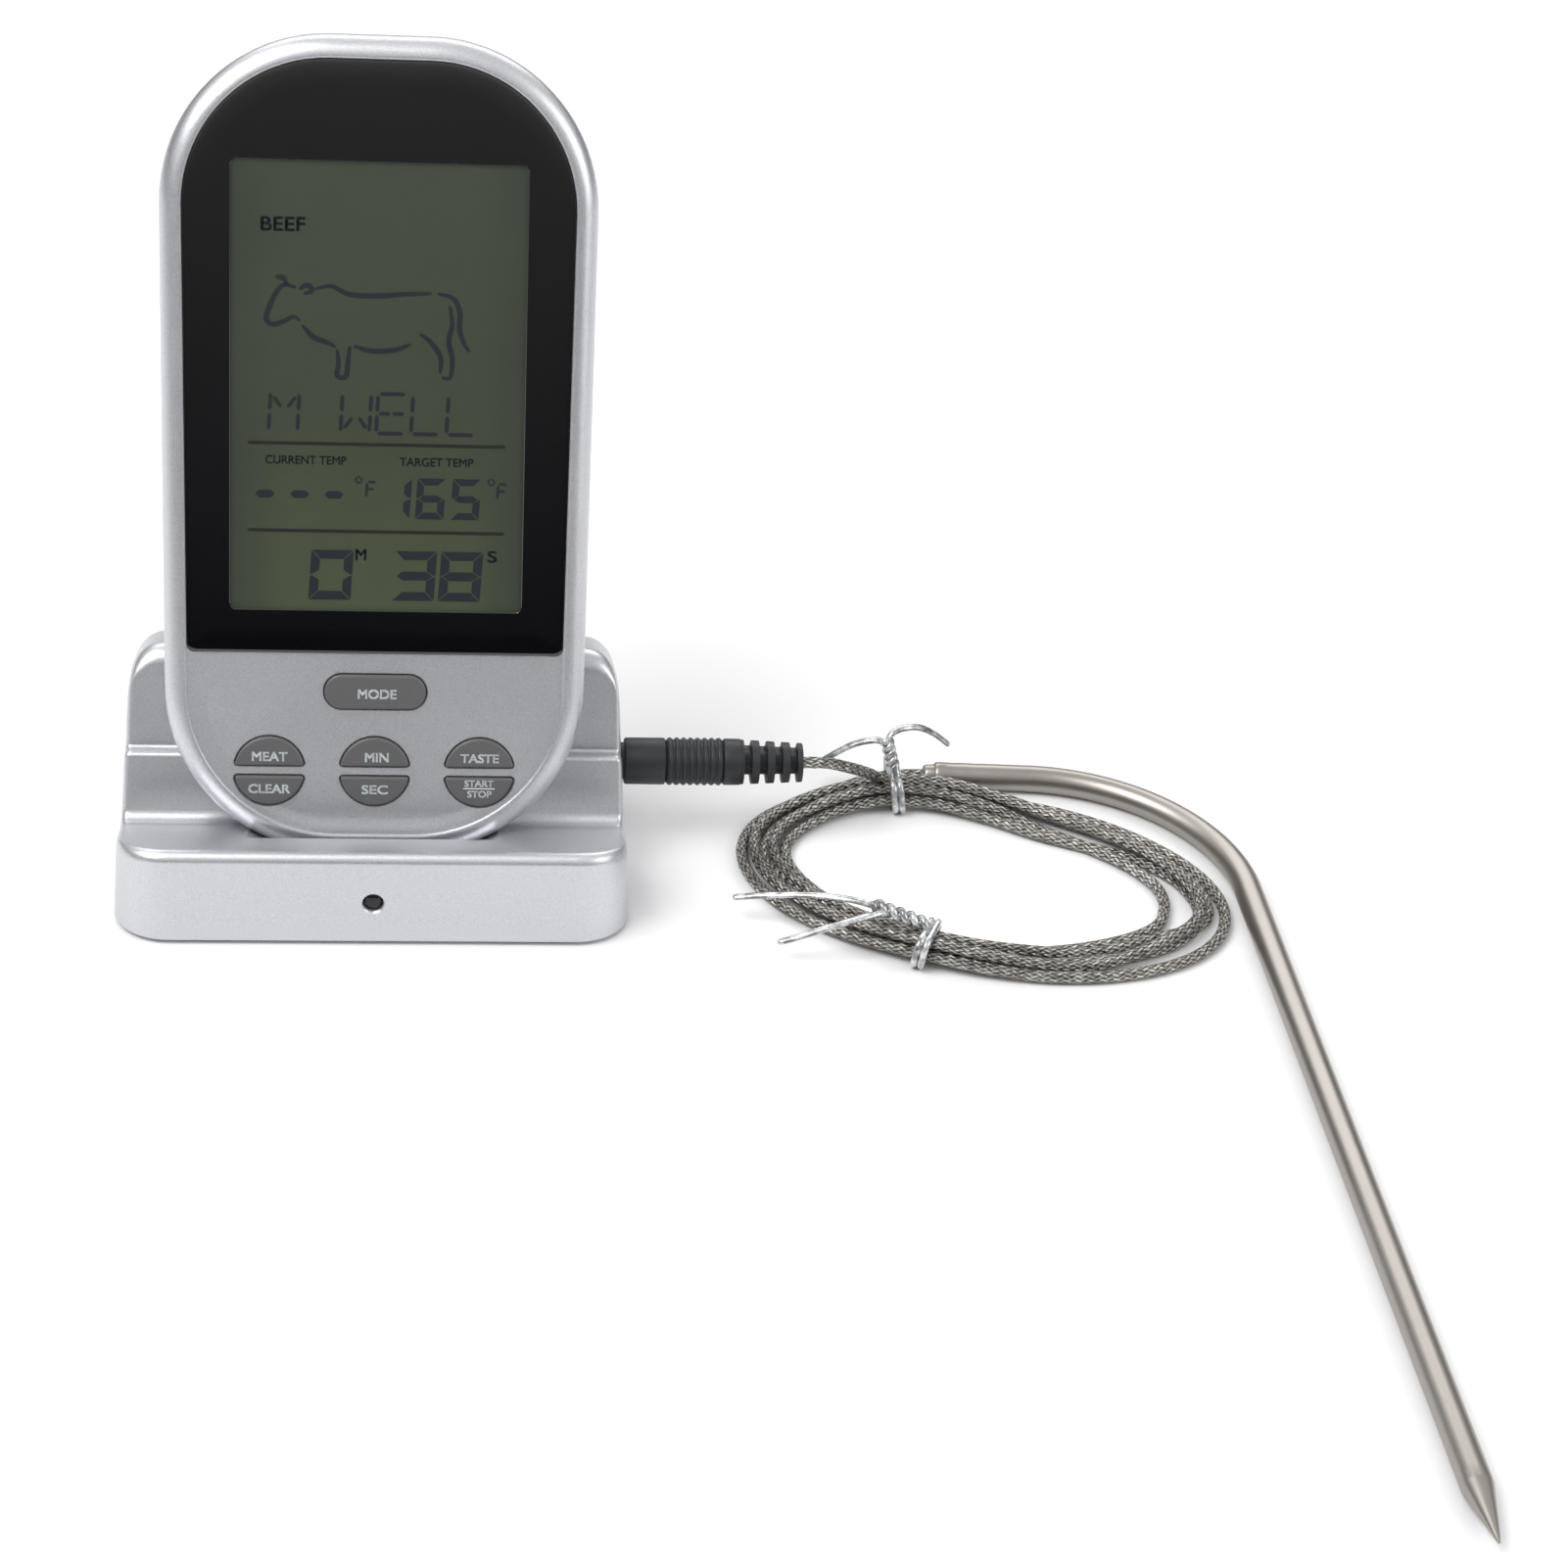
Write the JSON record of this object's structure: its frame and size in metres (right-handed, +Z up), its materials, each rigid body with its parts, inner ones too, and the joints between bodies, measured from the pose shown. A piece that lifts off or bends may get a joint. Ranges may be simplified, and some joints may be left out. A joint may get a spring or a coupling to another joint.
{
  "type": "meat thermometer",
  "caption": "Wireless meat thermometer: a handheld display leans in a dock with a plugged-in probe lead, coiled braided cable and bent steel probe.",
  "frame": {"origin": "centre of the dock's underside, on the table", "axes": "+X to the right of a person facing the display, along the plug; +Y to the back; +Z up"},
  "size_m": [0.1982, 0.2227, 0.1346],
  "materials": {
    "silver_plastic": "satin silver paint on moulded plastic",
    "grey_plastic": "unpainted grey moulding",
    "black_gloss": "glossy black",
    "lens": "glossy black printed window",
    "display_glass": "grey green liquid crystal",
    "white_plastic": "diffusing white",
    "black_plastic": "fine matte",
    "circuit_board": "green solder mask",
    "shield": "tinned can",
    "brass": "plated",
    "contact_steel": "nickel plated",
    "cell_wrap": "printed film",
    "keypad_rubber": "silicone",
    "connector_rubber": "silicone strip",
    "button_grey": "dark grey with pale print",
    "plug_rubber": "moulded black",
    "plug_metal": "gold plated",
    "braid": "braided stainless steel",
    "probe_steel": "brushed stainless steel",
    "tie_wire": "clear coated wire",
    "screw_steel": "zinc plated",
    "spring_steel": "bright spring steel"
  },
  "bodies": {
    "dock": {"dock_housing": "silver_plastic", "dock_bottom_cover": "grey_plastic", "dock_cells": "cell_wrap", "dock_cell_contacts": "contact_steel", "dock_circuit_board": "circuit_board", "dock_radio_module": "shield", "dock_antenna": "brass", "status_led": "black_gloss", "led_board": "circuit_board", "dock_screws": "screw_steel", "power_switch_body": "black_plastic", "probe_jack": "black_plastic", "jack_contacts": "brass"},
    "dock_battery_door": {"dock_battery_door": "grey_plastic"},
    "power_switch": {"power_switch_knob": "black_plastic"},
    "receiver": {"receiver_front_cover": "silver_plastic", "receiver_rear_cover": "silver_plastic", "display_lens": "lens", "display_glass": "display_glass", "display_backlight": "white_plastic", "display_frame": "black_plastic", "display_connector": "connector_rubber", "receiver_circuit_board": "circuit_board", "receiver_radio_module": "shield", "receiver_antenna": "brass", "buzzer": "black_plastic", "keypad_membrane": "keypad_rubber", "receiver_cells": "cell_wrap", "receiver_cell_contacts": "contact_steel", "receiver_screws": "screw_steel", "clip_pin": "spring_steel", "clip_spring": "spring_steel"},
    "receiver_battery_lid": {"receiver_battery_lid": "silver_plastic"},
    "belt_clip": {"belt_clip": "silver_plastic"},
    "mode_button": {"mode_button": "button_grey"},
    "meat_button": {"meat_button": "button_grey"},
    "clear_button": {"clear_button": "button_grey"},
    "minute_button": {"minute_button": "button_grey"},
    "second_button": {"second_button": "button_grey"},
    "taste_button": {"taste_button": "button_grey"},
    "start_stop_button": {"start_stop_button": "button_grey"},
    "probe_lead": {"plug_pin": "plug_metal", "plug_grip": "plug_rubber", "plug_strain_relief": "plug_rubber", "probe_cable": "braid", "probe_cable_coil": "braid", "probe_cable_tail": "braid", "probe_ferrule": "probe_steel", "probe_stem": "probe_steel", "probe_tip": "probe_steel", "temperature_sensor": "brass", "far_tie": "tie_wire", "near_tie": "tie_wire"}
  },
  "joints": [
    {"name": "receiver_lift", "type": "slide", "parent": "dock", "child": "receiver", "axis": [0, 0.3297, 0.9441], "range_m": [0, 0.045]},
    {"name": "dock_battery_door_slide", "type": "slide", "parent": "dock", "child": "dock_battery_door", "axis": [0, 1, 0], "range_m": [0, 0.026]},
    {"name": "power_switch_slide", "type": "slide", "parent": "dock", "child": "power_switch", "axis": [1, 0, 0], "range_m": [0, 0.003]},
    {"name": "receiver_battery_lid_hinge", "type": "hinge", "parent": "receiver", "child": "receiver_battery_lid", "pos_m": [0, 0.01399, 0.03873], "axis": [-1, 0, 0], "range_deg": [0, 90]},
    {"name": "belt_clip_hinge", "type": "hinge", "parent": "receiver", "child": "belt_clip", "pos_m": [0, 0.04113, 0.10764], "axis": [1, 0, 0], "range_deg": [0, 15], "stiffness_Nm_per_rad": 0.05, "springref_deg": -8.59},
    {"name": "mode_button_press", "type": "slide", "parent": "receiver", "child": "mode_button", "axis": [0, 0.9441, -0.3297], "range_m": [0, 0.0008], "stiffness_N_per_m": 800},
    {"name": "meat_button_press", "type": "slide", "parent": "receiver", "child": "meat_button", "axis": [0, 0.9441, -0.3297], "range_m": [0, 0.0008], "stiffness_N_per_m": 800},
    {"name": "clear_button_press", "type": "slide", "parent": "receiver", "child": "clear_button", "axis": [0, 0.9441, -0.3297], "range_m": [0, 0.0008], "stiffness_N_per_m": 800},
    {"name": "minute_button_press", "type": "slide", "parent": "receiver", "child": "minute_button", "axis": [0, 0.9441, -0.3297], "range_m": [0, 0.0008], "stiffness_N_per_m": 800},
    {"name": "second_button_press", "type": "slide", "parent": "receiver", "child": "second_button", "axis": [0, 0.9441, -0.3297], "range_m": [0, 0.0008], "stiffness_N_per_m": 800},
    {"name": "taste_button_press", "type": "slide", "parent": "receiver", "child": "taste_button", "axis": [0, 0.9441, -0.3297], "range_m": [0, 0.0008], "stiffness_N_per_m": 800},
    {"name": "start_stop_button_press", "type": "slide", "parent": "receiver", "child": "start_stop_button", "axis": [0, 0.9441, -0.3297], "range_m": [0, 0.0008], "stiffness_N_per_m": 800},
    {"name": "plug_pull", "type": "slide", "parent": "dock", "child": "probe_lead", "axis": [1, 0, 0], "range_m": [0, 0.018]}
  ]
}
